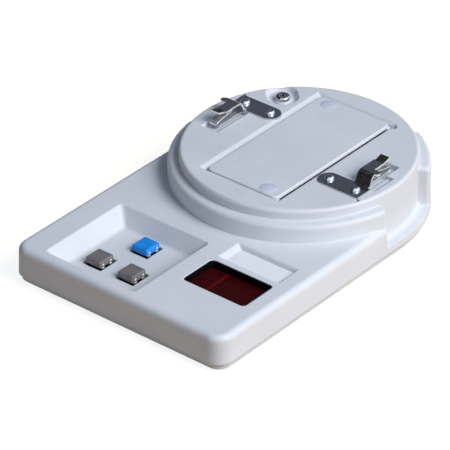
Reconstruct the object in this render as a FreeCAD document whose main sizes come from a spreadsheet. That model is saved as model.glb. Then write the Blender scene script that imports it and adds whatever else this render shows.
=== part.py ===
import FreeCAD, Part
import Sketcher
import math
import operator
import os
from types import SimpleNamespace
from FreeCAD import Placement, Rotation, Vector

# Bench programmer for twist-on detector heads: a flat console with a keypad and a display, and a drum
# with two contact clips at its rear. Origin on the table under the middle, +X right, +Y to the drum end.

# Driving sizes in millimetres and degrees; heights stack up from the table
SIZES = {
    # Case
    "case_length": 155.2,
    "case_width": 99.4,
    "case_wall": 2.5,
    "draft_angle": 1.5,
    "corner_radius": 6.3,
    "console_edge": 2.6,
    "foot_height": 1.0,
    "cover_edge": 2.3,
    "cover_floor": 1.5,
    "cover_inset": 1.2,
    "lip_height": 3.0,
    "lip_wall": 1.2,
    "fit_gap": 0.2,
    # Ring and drum
    "ring_rise": 7.2,
    "ring_edge": 1.8,
    "drum_rise": 4.2,
    "ring_width": 4.7,
    "drum_edge": 1.3,
    "drum_wall": 3.6,
    "notch_start": -10.5,
    "notch_angle": 39.0,
    "left_notch_start": -5.5,
    "rear_notch_start": 62.0,
    "notch_edge": 1.6,
    "nose_edge": 1.6,
    "ledge_rise": 2.9,
    "ledge_foot": 2.0,
    # Keypad well, its four sloping sides and its keys
    "well_side": 12.5,
    "well_right": 5.3,
    "well_front": 4.9,
    "well_length": 42.0,
    "well_depth": 6.0,
    "well_floor": 1.8,
    "well_slope_left": 5.7,
    "well_slope_rear": 5.0,
    "well_slope_right": 3.5,
    "well_slope_front": 2.5,
    "well_corner": 2.0,
    "well_foot": 2.2,
    "lip_edge": 0.6,
    "key_row_shift": -0.8,
    "key_pitch": 15.5,
    "key_row_front": 11.6,
    "key_row_rear": 6.2,
    "key_width": 7.2,
    "key_length": 7.6,
    "key_gap": 0.8,
    "key_rise": 2.75,
    "key_float": 0.3,
    "key_taper": 1.0,
    "key_edge": 0.6,
    "key_wall": 0.65,
    "key_ceiling": 1.1,
    "key_travel": 1.0,
    "plunger_thick": 0.8,
    "nub_radius": 0.42,
    "nub_pitch": 4.2,
    "stem_radius": 1.6,
    "stem_reach": 0.6,
    "hook_thick": 0.45,
    "hook_width": 1.3,
    "hook_rise": 0.6,
    "slide_gap": 0.05,
    "switch_size": 4.6,
    # Display window and label recess
    "window_left": 13.0,
    "window_side": 8.0,
    "window_front": 22.2,
    "window_length": 17.1,
    "window_corner": 1.8,
    "bezel_rim": 0.5,
    "bezel_flange": 2.0,
    "filter_depth": 2.9,
    "filter_thick": 1.4,
    "filter_lap": 1.0,
    "module_gap": 0.3,
    "digit_height": 9.5,
    "digit_width": 5.6,
    "digit_stroke": 0.9,
    "digit_pitch": 8.0,
    "label_left": 13.5,
    "label_side": 8.6,
    "label_front": 42.4,
    "label_length": 11.1,
    "label_depth": 1.7,
    "label_floor": 1.8,
    "label_slope": 2.5,
    "label_slope_rear": 1.0,
    "label_steep": 0.4,
    "label_corner": 0.6,
    "label_lip": 1.2,
    "label_thick": 0.15,
    # Hatch in the drum top
    "hatch_side": 28.4,
    "hatch_end": 10.75,
    "hatch_thick": 1.4,
    "hatch_proud": 0.3,
    "hatch_corner": 2.5,
    "hatch_edge": 0.5,
    "hatch_gap": 0.55,
    "hatch_front": 0.25,
    "hatch_slope": 2.4,
    "hatch_steep": 1.2,
    "hatch_slope_rear": 1.3,
    "hatch_lip": 0.5,
    "hatch_slot": 0.8,
    "hatch_ledge": 2.2,
    "hatch_frame": 1.2,
    "pry_radius": 1.4,
    "bumper_radius": 3.5,
    "bumper_rise": 0.9,
    "bumper_side": 6.6,
    "bumper_end": 3.65,
    # Contact clips: across from the edge of the drum, along from its axis on the right-hand clip
    "rivet_inset": 9.6,
    "rivet_pitch": 12.1,
    "rivet_y": -11.4,
    "rivet_radius": 1.3,
    "rivet_head": 1.85,
    "rivet_rise": 1.2,
    "tab_half": 4.3,
    "tab_inset": 5.4,
    "plate_thick": 0.8,
    "plate_proud": 0.45,
    "spring_thick": 0.3,
    "seat_margin": 0.5,
    "tab_gap": 0.1,
    "arm_inset": 13.0,
    "arm_width": 6.6,
    "arm_foot": -7.0,
    "arm_crest": -4.9,
    "arm_rise": 4.35,
    "arm_end": 4.2,
    "finger_end": 7.7,
    "finger_rise": 0.95,
    "finger_width": 4.0,
    "horn_end": -1.4,
    "arm_bend": 2.0,
    "ear_radius": 1.3,
    "leaf_inset": 12.2,
    "leaf_width": 3.6,
    "leaf_turn": 7.3,
    "leaf_bend": 1.0,
    "leaf_tip": -0.6,
    "leaf_angle": 10.0,
    "trough_depth": 2.0,
    "trough_width": 7.8,
    "trough_end": 11.6,
    "side_depth": 1.2,
    "side_width": 3.2,
    "side_end": 4.0,
    "pinhole_radius": 0.8,
    "pinhole_inset": 5.0,
    "pinhole_y": -16.2,
    # Screws and posts
    "post_radius": 3.2,
    "post_side": 17.3,
    "post_rear": 20.4,
    "boss_height": 3.5,
    "screw_radius": 1.5,
    "screw_head": 2.85,
    "screw_rise": 1.7,
    "screw_reach": 9.0,
    "drum_screw_reach": 17.0,
    "cross_length": 3.4,
    "cross_width": 0.9,
    "cross_depth": 1.1,
    "dish_depth": 1.7,
    "dish_radius": 6.2,
    "dish_floor_radius": 4.7,
    "dish_spread": 0.07,
    "seat_radius": 3.4,
    "seat_sink": 1.0,
    "foot_radius": 4.0,
    "foot_sink": 0.5,
    "foot_side": 12.3,
    "foot_front": 14.0,
    "foot_rear_x": 19.7,
    "foot_rear": 14.4,
    # Board and what stands on it
    "board_stand": 1.0,
    "board_thick": 1.6,
    "board_clear": 2.1,
    "board_front": 4.6,
    "board_rear": 15.2,
    "board_screw": 1.2,
    "board_head": 2.2,
    "board_head_rise": 1.5,
    "hole_edge": 3.0,
    "hole_front": 4.0,
    "hole_inner": 6.6,
    "hole_rear": 9.5,
    "chip_height": 2.6,
    "chip_depth": 7.5,
    "controller_length": 18.0,
    "controller_side": 15.9,
    "rear_row": 7.0,
    "driver_length": 12.0,
    "driver_pitch": 13.0,
    "driver_row": 7.7,
    "crystal_length": 11.0,
    "crystal_side": 6.9,
    "crystal_depth": 4.6,
    "crystal_height": 3.4,
    "sounder_radius": 6.0,
    "sounder_height": 5.2,
    "sounder_pitch": 16.0,
    "capacitor_radius": 3.1,
    "capacitor_height": 4.8,
    "capacitor_x": 17.0,
    "capacitor_pitch": 8.0,
    # Block battery, its snap and the wires
    "battery_width": 26.5,
    "battery_length": 46.4,
    "battery_height": 17.5,
    "battery_rear": 30.0,
    "battery_edge": 1.5,
    "stud_radius": 2.9,
    "stud_length": 2.1,
    "stud_spacing": 12.7,
    "snap_width": 24.5,
    "snap_thick": 4.4,
    "snap_height": 11.0,
    "rib_thick": 1.5,
    "rib_height": 8.0,
    "foam_gap": 0.3,
    "foam_side": 4.0,
    "foam_length": 34.0,
    "lead_radius": 0.6,
    "lead_bend": 2.0,
    "lead_side": 11.0,
    "lead_pitch": 4.0,
    "lead_pad": 3.0,
    "lead_rise": 2.0,
}

OPERATIONS = {"+": operator.add, "-": operator.sub, "*": operator.mul, "/": operator.truediv}
DEGREES = 180 / math.pi
PAST = 1.0  # how far a cutting shape runs beyond the face that it opens
NUB_TURN = Rotation(Vector(0, 1, 0), 90)
STUD_TURN = Rotation(Vector(1, 0, 0), -90)


class Measure:
    """A size that carries its number and its formula over the cells of the sheet."""

    def __init__(self, number, formula):
        self.number = number
        self.formula = formula

    def __float__(self):
        return self.number

    def __add__(self, other):
        return joined(self, "+", other)

    def __radd__(self, other):
        return joined(other, "+", self)

    def __sub__(self, other):
        return joined(self, "-", other)

    def __rsub__(self, other):
        return joined(other, "-", self)

    def __mul__(self, other):
        return joined(self, "*", other)

    def __rmul__(self, other):
        return joined(other, "*", self)

    def __truediv__(self, other):
        return joined(self, "/", other)

    def __neg__(self):
        return joined(0, "-", self)


def measure(value):
    """Any plain number as a Measure."""
    return value if isinstance(value, Measure) else Measure(float(value), repr(float(value)))


def joined(left, sign, right):
    left, right = measure(left), measure(right)
    number = OPERATIONS[sign](left.number, right.number)
    return Measure(number, f"({left.formula} {sign} {right.formula})")


def tangent(angle):
    return Measure(math.tan(math.radians(angle.number)), f"tan({angle.formula} * 1 deg)")


def arcsine(ratio):
    return Measure(math.degrees(math.asin(ratio.number)), f"asin({ratio.formula})")


doc = FreeCAD.newDocument("head_programmer")
sheet = doc.addObject("Spreadsheet::Sheet", "sizes")
for row, (name, number) in enumerate(SIZES.items(), start=1):
    sheet.set(f"A{row}", name)
    sheet.set(f"B{row}", str(number))
    sheet.setAlias(f"B{row}", name)
doc.recompute()
size = SimpleNamespace(**{name: Measure(float(sheet.get(name)), f"sizes.{name}") for name in SIZES})
nodes = {}


# Building blocks

def keep(label, item):
    """Names a finished piece; the name is also its file's."""
    item.Label = label
    nodes[label] = item
    return item


def bind(item, prop, value):
    item.setExpression(prop, measure(value).formula)


def put(item, x, y, z):
    for axis, value in zip("xyz", (x, y, z)):
        bind(item, "Placement.Base." + axis, value)


def span(centre, length):
    return centre - length / 2, centre + length / 2


def box(x, y, z):
    """A block between the low and high of each axis."""
    item = doc.addObject("Part::Box", "block")
    for prop, (low, high) in zip(("Length", "Width", "Height"), (x, y, z)):
        bind(item, prop, high - low)
    put(item, x[0], y[0], z[0])
    return item


def cylinder(x, y, z, radius):
    """An upright cylinder between two heights."""
    item = doc.addObject("Part::Cylinder", "round")
    bind(item, "Radius", radius)
    bind(item, "Height", z[1] - z[0])
    put(item, x, y, z[0])
    return item


def lying_cylinder(start, length, radius, turn):
    """A cylinder from a start point, turned from upright to lie along X or Y."""
    item = doc.addObject("Part::Cylinder", "round")
    item.Placement = Placement(Vector(), turn)
    bind(item, "Radius", radius)
    bind(item, "Height", length)
    put(item, *start)
    return item


def cone(x, y, z, low_radius, high_radius):
    item = doc.addObject("Part::Cone", "cone")
    bind(item, "Radius1", low_radius)
    bind(item, "Radius2", high_radius)
    bind(item, "Height", z[1] - z[0])
    put(item, x, y, z[0])
    return item


def sector(z, radius, start, angle):
    """A slice of a cylinder on the drum axis, counted from +X toward +Y."""
    item = cylinder(0, drum_y, z, radius)
    bind(item, "Angle", angle)
    bind(item, "Placement.Rotation.Angle", start)
    return item


def frustum(low_x, low_y, high_x, high_y, z):
    """A block whose low and high rectangles differ."""
    item = doc.addObject("Part::Wedge", "frustum")
    item.Placement = Placement(Vector(), Rotation(Vector(1, 0, 0), 90))
    limits = {"Ymin": z[0], "Ymax": z[1], "Xmin": low_x[0], "Xmax": low_x[1], "X2min": high_x[0],
              "X2max": high_x[1], "Zmin": -low_y[1], "Zmax": -low_y[0], "Z2min": -high_y[1],
              "Z2max": -high_y[0]}
    for prop, value in limits.items():
        bind(item, prop, value)
    return item


def fuse(*items):
    item = doc.addObject("Part::MultiFuse", "joined")
    item.Shapes = list(items)
    item.Refine = True
    return item


def cut(base, *tools):
    item = doc.addObject("Part::Cut", "cut")
    item.Base = base
    item.Tool = tools[0] if len(tools) == 1 else fuse(*tools)
    return item


def group(*items):
    """Several loose solids of one kind as one piece."""
    item = doc.addObject("Part::Compound", "set")
    item.Links = list(items)
    return item


def rounded(base, radius, chosen):
    """Rounds those edges of base that chosen accepts."""
    doc.recompute()
    item = doc.addObject("Part::Fillet", "rounded")
    item.Base = base
    edges = enumerate(base.Shape.Edges, start=1)
    item.Edges = [(number, float(radius), float(radius)) for number, edge in edges if chosen(edge)]
    return item


def upright(edge):
    return edge.BoundBox.XLength + edge.BoundBox.YLength < 0.2 * edge.BoundBox.ZLength


def level(height):
    """Accepts edges that lie flat at one height."""
    return lambda edge: max(abs(edge.BoundBox.ZMin - float(height)),
                            abs(edge.BoundBox.ZMax - float(height))) < 0.001


def rounded_box(x, y, z, radius):
    return rounded(box(x, y, z), radius, upright)


def stadium(inset, z):
    """The case outline drawn in by inset: square front with round corners, round rear."""
    block = box((inset - half, half - inset), (front + inset, drum_y), z)
    front_corners = lambda edge: upright(edge) and edge.CenterOfMass.y < 0
    radius = float(size.corner_radius) - float(inset)
    if radius > 0:
        block = rounded(block, radius, front_corners)
    return fuse(block, cylinder(0, drum_y, z, half - inset))


def rectangle_sketch(body, x, y, z):
    """A rectangle on the body's level plane at one height."""
    sketch = body.newObject("Sketcher::SketchObject", "outline")
    plane = next(feature for feature in body.Origin.OriginFeatures if feature.Role == "XY_Plane")
    sketch.AttachmentSupport = (plane, [""])
    sketch.MapMode = "FlatFace"
    bind(sketch, "AttachmentOffset.Base.z", z)
    corners = [(x[0], y[0]), (x[1], y[0]), (x[1], y[1]), (x[0], y[1])]
    points = [Vector(float(a), float(b), 0) for a, b in corners]
    for place in range(4):
        sketch.addGeometry(Part.LineSegment(points[place], points[(place + 1) % 4]), False)
    for place in range(4):
        sketch.addConstraint(Sketcher.Constraint("Coincident", place, 2, (place + 1) % 4, 1))
    for place, corner in enumerate(corners):
        for kind, value in zip(("DistanceX", "DistanceY"), corner):
            held = sketch.addConstraint(Sketcher.Constraint(kind, -1, 1, place, 1, float(value)))
            bind(sketch, f"Constraints[{held}]", value)
    return sketch


def side_hole_sketch(body, x, places, radius):
    """Round holes seen from the side, each at a (y, z) place on the plane at x."""
    sketch = body.newObject("Sketcher::SketchObject", "holes")
    plane = next(feature for feature in body.Origin.OriginFeatures if feature.Role == "YZ_Plane")
    sketch.AttachmentSupport = (plane, [""])
    sketch.MapMode = "FlatFace"
    bind(sketch, "AttachmentOffset.Base.z", x)
    for place, (y, z) in enumerate(places):
        centre = Vector(float(y), float(z), 0)
        sketch.addGeometry(Part.Circle(centre, Vector(0, 0, 1), float(radius)), False)
        for kind, value in (("DistanceX", y), ("DistanceY", z)):
            held = sketch.addConstraint(Sketcher.Constraint(kind, -1, 1, place, 3, float(value)))
            bind(sketch, f"Constraints[{held}]", value)
        held = sketch.addConstraint(Sketcher.Constraint("Radius", place, float(radius)))
        bind(sketch, f"Constraints[{held}]", radius)
    return sketch


def pad(body, sketch, height, taper=0):
    feature = body.newObject("PartDesign::Pad", "pad")
    feature.Profile = sketch
    bind(feature, "Length", height)
    bind(feature, "TaperAngle", -measure(taper))
    return feature


def pocket(body, sketch, depth):
    """Cuts from the sketch along its normal."""
    feature = body.newObject("PartDesign::Pocket", "pocket")
    feature.Profile = sketch
    feature.Reversed = True
    bind(feature, "Length", depth)
    return feature


def soften(body, radius, chosen):
    doc.recompute()
    last = body.Tip
    feature = body.newObject("PartDesign::Fillet", "soft")
    edges = enumerate(last.Shape.Edges, start=1)
    feature.Base = (last, [f"Edge{number}" for number, edge in edges if chosen(edge)])
    bind(feature, "Radius", radius)
    return feature


def bent_path(points, radius):
    """Straight runs joined by tangent arcs of one radius."""
    edges, start = [], points[0]
    for before, corner, after in zip(points, points[1:], points[2:]):
        inward = (before - corner).normalize()
        outward = (after - corner).normalize()
        half_turn = (math.pi - inward.getAngle(outward)) / 2
        first = corner + inward * (radius * math.tan(half_turn))
        last = corner + outward * (radius * math.tan(half_turn))
        middle = corner + (inward + outward).normalize() * (radius / math.cos(half_turn) - radius)
        edges.append(Part.LineSegment(start, first).toShape())
        edges.append(Part.Arc(first, middle, last).toShape())
        start = last
    edges.append(Part.LineSegment(start, points[-1]).toShape())
    return Part.Wire(edges)


def strip(path, x, thick):
    """Flat strip of even thickness swept along a path that starts toward +Y."""
    start = path.Vertexes[0].Point
    low, high = float(x[0]), float(x[1])
    rise = float(thick) / 2
    corners = [Vector(a, start.y, start.z + b) for a, b in
               ((low, -rise), (high, -rise), (high, rise), (low, rise), (low, -rise))]
    return path.makePipeShell([Part.makePolygon(corners)], True, False)


def solid(x, y, z):
    """A plain block for shapes that are put together outside the sheet's own features."""
    lows = [float(pair[0]) for pair in (x, y, z)]
    lengths = [float(pair[1]) - float(pair[0]) for pair in (x, y, z)]
    return Part.makeBox(*lengths, Vector(*lows))


def rod(x, y, z, radius):
    """A plain upright cylinder for the same use."""
    return Part.makeCylinder(float(radius), float(z[1] - z[0]), Vector(float(x), float(y), float(z[0])))


def shape_piece(label, shape, placement=None):
    item = doc.addObject("Part::Feature", label)
    item.Shape = shape
    if placement:
        item.Placement = placement
    return keep(label, item)


# Places that several pieces share
half = size.case_width / 2
front = -size.case_length / 2
drum_y = size.case_length / 2 - half
drum_radius = half - size.ring_width
floor_top = size.foot_height + size.cover_floor
rim = size.foot_height + size.cover_edge
board_low = floor_top + size.board_stand
board_top = board_low + size.board_thick
well_low = board_top + size.board_clear
well_top = well_low + size.well_floor
console_top = well_top + size.well_depth
console_under = console_top - size.case_wall
ring_top = console_top + size.ring_rise
drum_top = ring_top + size.drum_rise
drum_under = drum_top - size.drum_wall
ledge_top = rim + size.ledge_rise
lip_inset = size.case_wall + size.fit_gap
hollow_inset = lip_inset + size.lip_wall
boss_top = size.foot_height + size.boss_height
wall_angle = size.case_wall / drum_radius * DEGREES
notches = [(size.notch_start, size.notch_angle),
           (180 - size.notch_start - size.notch_angle,
            size.notch_angle + size.notch_start - size.left_notch_start),
           (size.rear_notch_start, 180 - 2 * size.rear_notch_start)]

well_x = (size.well_side - half, size.well_right)
well_y = (front + size.well_front, front + size.well_front + size.well_length)
window_x = (size.window_left, half - size.window_side)
window_y = (front + size.window_front, front + size.window_front + size.window_length)
label_x = (size.label_left, half - size.label_side)
label_y = (front + size.label_front, front + size.label_front + size.label_length)
label_low_x = (label_x[0] + size.label_slope, label_x[1] - size.label_steep)
label_low_y = (label_y[0] + size.label_steep, label_y[1] - size.label_slope_rear)
label_low = console_top - size.label_depth

well_low_x = (well_x[0] + size.well_slope_left, well_x[1] - size.well_slope_right)
well_low_y = (well_y[0] + size.well_slope_front, well_y[1] - size.well_slope_rear)
key_row_x = (well_low_x[0] + well_low_x[1]) / 2 + size.key_row_shift
key_row_y = well_low_y[0] + size.key_row_front
keys = {"left": (key_row_x - size.key_pitch / 2, key_row_y),
        "right": (key_row_x + size.key_pitch / 2, key_row_y),
        "rear": (key_row_x, well_low_y[1] - size.key_row_rear)}
key_top = well_top + size.key_rise
key_low = well_top + size.key_float
plunger_top = key_top - size.key_ceiling
plunger_low = plunger_top - size.plunger_thick
switch_top = plunger_low - size.key_travel - size.slide_gap

hatch_low = drum_top + size.hatch_proud - size.hatch_thick
hatch_half, hatch_reach = drum_radius - size.hatch_side, drum_radius - size.hatch_end
hatch_x = (-hatch_half, hatch_half)
hatch_y = (drum_y - hatch_reach, drum_y + hatch_reach)
hatch_open_x = (hatch_x[0] + size.hatch_ledge, hatch_x[1] - size.hatch_ledge)
hatch_open_y = (hatch_y[0] + size.hatch_ledge, hatch_y[1] - size.hatch_ledge)

seat_low = drum_top + size.plate_proud - size.plate_thick
rivet_outer = drum_radius - size.rivet_inset
rivet_inner = rivet_outer - size.rivet_pitch
tab_end = drum_radius - size.tab_inset
arm_inner = drum_radius - size.arm_inset
leaf_inner = drum_radius - size.leaf_inset
post_x, post_y = drum_radius - size.post_side, drum_y + drum_radius - size.post_rear
corner_post_x = half - hollow_inset - size.post_radius - 2 * size.fit_gap
corner_post_y = front + hollow_inset + size.post_radius + 2 * size.fit_gap
case_posts = [(-corner_post_x, corner_post_y), (corner_post_x, corner_post_y),
              (post_x, post_y)]
screw_hole = size.screw_radius + size.slide_gap
screw_seat = drum_top - size.seat_sink
board_half = corner_post_x - size.post_radius - 2 * size.fit_gap
board_y = (front + size.board_front, well_y[1] + size.board_rear)
board_side = board_half - size.hole_edge
board_holes = [(board_side, board_y[0] + size.hole_front),
               (well_x[1] + size.hole_inner, board_y[0] + size.hole_front),
               (board_side, board_y[1] - size.hole_rear), (-board_side, board_y[1] - size.hole_rear)]
lead_pad_y = board_y[1] - size.lead_pad
controller_x = size.controller_side - board_half
sounder_x = controller_x + size.sounder_pitch
crystal_x = board_half - size.crystal_side
feet = [(side * x, y) for side in (-1, 1)
        for x, y in ((half - size.foot_side, front + size.foot_front),
                     (size.foot_rear_x, drum_y + half - size.foot_rear))]


def turned(side, low, high):
    """A range on the right-hand clip, or the same one on the clip half a turn round the drum."""
    return (low, high) if side > 0 else (-high, -low)


def turned_pair(low, high):
    """The range on both sides."""
    return [turned(side, low, high) for side in (1, -1)]


def clip_box(side, x, y, z):
    across = turned(side, *(measure(value) for value in y))
    return box(turned(side, *x), tuple(drum_y + value for value in across), z)


# White top moulding
def from_axis(point):
    """A point's distance from the drum axis and its angle, both halves of the case read as the right one."""
    across, along = abs(point.x), point.y - float(drum_y)
    return math.hypot(across, along), math.degrees(math.atan2(along, across))


def end_edges(*angles):
    """Accepts the free edges of the faces that end the ring at these angles."""
    def chosen(edge):
        turns = [from_axis(point)[1] for point in edge.discretize(3)]
        on_end = any(max(abs(turn - float(angle)) for turn in turns) < 0.1 for angle in angles)
        outside = from_axis(edge.CenterOfMass)[0] > float(drum_radius) + 0.1
        return on_end and outside and edge.CenterOfMass.z > float(ledge_top) + 0.1
    return chosen


def drum_foot(edge):
    """Accepts the edges where the drum stands on its ledge."""
    reach = from_axis(edge.discretize(3)[1])[0]
    return level(ledge_top)(edge) and abs(reach - float(drum_radius)) < 0.1


def outer_shell():
    """Console block, flared ring and drum as one outside, with the three cut-outs in the ring."""
    height = console_top - rim
    lean = height * tangent(size.draft_angle)
    console = frustum((-half, half), (front, drum_y), (lean - half, half - lean), (front + lean, drum_y),
                      (rim, console_top))
    console = rounded(console, size.corner_radius,
                      lambda edge: edge.BoundBox.ZLength > 1 and edge.CenterOfMass.y < 0)
    flat_top = level(console_top)
    console = rounded(console, size.console_edge,
                      lambda edge: flat_top(edge) and edge.BoundBox.YMin < float(drum_y - PAST))
    ring_height = ring_top - rim
    ring = cone(0, drum_y, (rim, ring_top), half, half - ring_height * tangent(size.draft_angle))
    ring = rounded(ring, size.ring_edge, level(ring_top))
    drum = cylinder(0, drum_y, (ledge_top, drum_top), drum_radius)
    drum = rounded(drum, size.drum_edge, level(drum_top))
    gaps = [sector((ledge_top, ring_top + PAST), half + PAST, *notch) for notch in notches]
    body = fuse(cut(fuse(console, ring), *gaps), drum)
    body = rounded(body, size.nose_edge, end_edges(size.notch_start, size.left_notch_start))
    body = rounded(body, size.notch_edge,
                   end_edges(size.notch_start + size.notch_angle, size.rear_notch_start))
    return rounded(body, size.ledge_foot, drum_foot)


def inner_hollow():
    """The room inside the moulding; walls stay behind the ring's cut-outs."""
    inner = half - size.case_wall
    low = rim - PAST
    console = box((-inner, inner), (front + size.case_wall, drum_y), (low, console_under))
    low_drum = cylinder(0, drum_y, (low, ring_top - size.case_wall), inner)
    kept = [sector((low - PAST, ring_top), half, start - wall_angle, angle + 2 * wall_angle)
            for start, angle in notches]
    core = cylinder(0, drum_y, (low, drum_under), drum_radius - size.case_wall)
    return fuse(cut(fuse(console, low_drum), *kept), core)


def clip_recesses(side):
    """Flat seat for the tab, trough under the spring and the shallow step beside it."""
    seat_half = size.tab_half + size.tab_gap
    seat_z = (seat_low - size.spring_thick, drum_top + PAST)
    seat_end = cylinder(side * rivet_inner, drum_y + side * size.rivet_y, seat_z, seat_half)
    trough_x = span(leaf_inner + size.leaf_width / 2 - size.seat_margin, size.trough_width)
    trough_y = (size.arm_foot - size.seat_margin, size.trough_end)
    side_y = (size.arm_foot - size.seat_margin, size.side_end)
    over = drum_top + PAST
    pinhole = cylinder(side * (drum_radius - size.pinhole_inset), drum_y + side * size.pinhole_y,
                       (drum_under - PAST, over), size.pinhole_radius)
    seat_x = (rivet_inner, tab_end + size.tab_gap)
    return [seat_end, clip_box(side, seat_x, span(size.rivet_y, 2 * seat_half), seat_z),
            clip_box(side, trough_x, trough_y, (drum_top - size.trough_depth, over)),
            clip_box(side, (trough_x[1] - PAST, trough_x[1] + size.side_width), side_y,
                     (drum_top - size.side_depth, over)), pinhole]


def rivet_places():
    for side in (1, -1):
        for x in (rivet_inner, rivet_outer):
            yield side * x, drum_y + side * size.rivet_y


def recess_lip(across, along, top):
    """Upper edges of a recess: the keypad well, the label's or the hatch's."""
    spread = [float(high - low) / 2 + 0.1 for low, high in (across, along)]
    centre = [float(low + high) / 2 for low, high in (across, along)]

    def chosen(edge):
        middle = edge.CenterOfMass
        inside = abs(middle.x - centre[0]) < spread[0] and abs(middle.y - centre[1]) < spread[1]
        return inside and level(top)(edge)

    return chosen


def top_housing():
    shell = cut(outer_shell(), inner_hollow())
    well_block = box((well_x[0] - PAST, well_x[1] + PAST), (well_y[0] - PAST, well_y[1] + PAST),
                     (well_low, console_top - PAST))
    label_block = box(label_x, label_y, (label_low - size.label_floor, console_top - PAST))
    posts = [cylinder(x, y, (boss_top, under + PAST), size.post_radius)
             for (x, y), under in zip(case_posts, (console_under, console_under, drum_under))]
    shell = fuse(shell, well_block, label_block, *posts)
    well = frustum(well_low_x, well_low_y, well_x, well_y, (well_top, console_top))
    well = rounded(well, size.well_corner, lambda edge: edge.BoundBox.ZLength > 1)
    well = rounded(well, size.well_foot, level(well_top))
    label = frustum(label_low_x, label_low_y, label_x, label_y, (label_low, console_top))
    wide_x = (hatch_x[0] - size.hatch_gap, hatch_x[1] + size.hatch_gap)
    wide_y = (hatch_y[0] - size.hatch_front, hatch_y[1] + size.hatch_gap)
    over_x = (wide_x[0] - size.hatch_slope, wide_x[1] + size.hatch_steep)
    over_y = (wide_y[0] - size.slide_gap, wide_y[1] + size.hatch_slope_rear)
    hatch = frustum(wide_x, wide_y, over_x, over_y, (hatch_low, drum_top))
    shell = cut(shell, well, label, hatch)
    shell = rounded(shell, size.lip_edge, recess_lip(well_x, well_y, console_top))
    shell = rounded(shell, size.label_lip, recess_lip(label_x, label_y, console_top))
    shell = rounded(shell, size.hatch_lip, recess_lip(over_x, over_y, drum_top))
    window = rounded_box(window_x, window_y, (console_under - PAST, console_top + PAST),
                         size.window_corner)
    gap = 2 * size.key_gap
    holes = [box(span(x, size.key_width + gap), span(y, size.key_length + gap),
                 (well_low - PAST, well_top + PAST)) for x, y in keys.values()]
    slot_z = (hatch_low - size.hatch_slot, hatch_low + PAST)
    slot = cut(box(wide_x, wide_y, slot_z), box(hatch_x, hatch_y, slot_z))
    opening = box((hatch_open_x[0], wide_x[1]), hatch_open_y, (drum_under - PAST, drum_top))
    pry = cylinder(wide_x[1] + size.pry_radius, wide_y[1] - size.pry_radius,
                   (drum_top - 2 * size.pry_radius, drum_top + PAST), size.pry_radius)
    dish_z = (drum_top - size.dish_depth, drum_top)
    dishes = [cone(-post_x * spread, drum_y + (post_y - drum_y) * spread, dish_z,
                   size.dish_floor_radius, size.dish_radius)
              for spread in (measure(1), 1 + size.dish_spread)]
    seat = cylinder(-post_x, post_y, (drum_under, screw_seat), size.seat_radius)
    through = (drum_under - PAST, drum_top)
    drills = [cylinder(x, y, through, size.rivet_radius + size.slide_gap) for x, y in rivet_places()]
    drills.append(cylinder(-post_x, post_y, through, screw_hole))
    drills += [cylinder(x, y, (boss_top - PAST, boss_top + size.screw_reach), screw_hole)
               for x, y in case_posts]
    keep("top_housing", cut(shell, window, *holes, slot, opening, pry, cut(fuse(*dishes), seat),
                            *drills, *clip_recesses(1), *clip_recesses(-1)))


# White bottom tray
def bottom_cover():
    lip_top = rim + size.lip_height
    lip = stadium(lip_inset, (floor_top, lip_top))
    gap_angle = wall_angle + 2 * size.fit_gap / drum_radius * DEGREES
    breaks = [sector((rim, lip_top + PAST), half, start - gap_angle, angle + 2 * gap_angle)
              for start, angle in notches]
    tray = fuse(stadium(size.cover_inset, (size.foot_height, rim)), cut(lip, *breaks))
    tray = cut(tray, stadium(hollow_inset, (floor_top, lip_top + PAST)))
    bosses = [cylinder(x, y, (size.foot_height, boss_top), size.post_radius) for x, y in case_posts]
    stands = [cylinder(x, y, (size.foot_height, board_low), size.board_head) for x, y in board_holes]
    screw_post = cylinder(-post_x, post_y, (size.foot_height, drum_under),
                          size.post_radius)
    battery_side = size.battery_width / 2 + size.foam_gap
    rib_y = (drum_y + size.battery_rear - size.battery_length, drum_y + size.battery_rear)
    ribs = [box(pair, rib_y, (size.foot_height, floor_top + size.rib_height))
            for pair in ((battery_side, battery_side + size.rib_thick),
                         (-battery_side - size.rib_thick, -battery_side))]
    end = rib_y[1] + size.foam_gap
    ribs.append(box((-size.rib_height, size.rib_height), (end, end + size.rib_thick),
                    (size.foot_height, floor_top + size.rib_height)))
    tray = fuse(tray, *bosses, *stands, screw_post, *ribs)
    head_low = boss_top - size.cover_floor
    under = size.foot_height - PAST
    holes = [cylinder(x, y, (under, boss_top + PAST), screw_hole) for x, y in case_posts]
    holes += [cylinder(x, y, (under, head_low), size.screw_head + size.slide_gap) for x, y in case_posts]
    holes += [cylinder(x, y, (size.foot_height + size.foot_sink, board_low + PAST),
                       size.board_screw + size.slide_gap) for x, y in board_holes]
    holes += [cylinder(x, y, (under, size.foot_height + size.foot_sink), size.foot_radius + size.slide_gap)
              for x, y in feet]
    screw_low = screw_seat - size.drum_screw_reach - PAST
    holes.append(cylinder(-post_x, post_y, (screw_low, drum_under + PAST), screw_hole))
    keep("bottom_cover", cut(tray, *holes))


def rubber_feet():
    foot_top = size.foot_height + size.foot_sink
    keep("rubber_feet", group(*[rounded(cylinder(x, y, (measure(0), foot_top), size.foot_radius),
                                        size.foot_sink, level(0)) for x, y in feet]))


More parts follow.
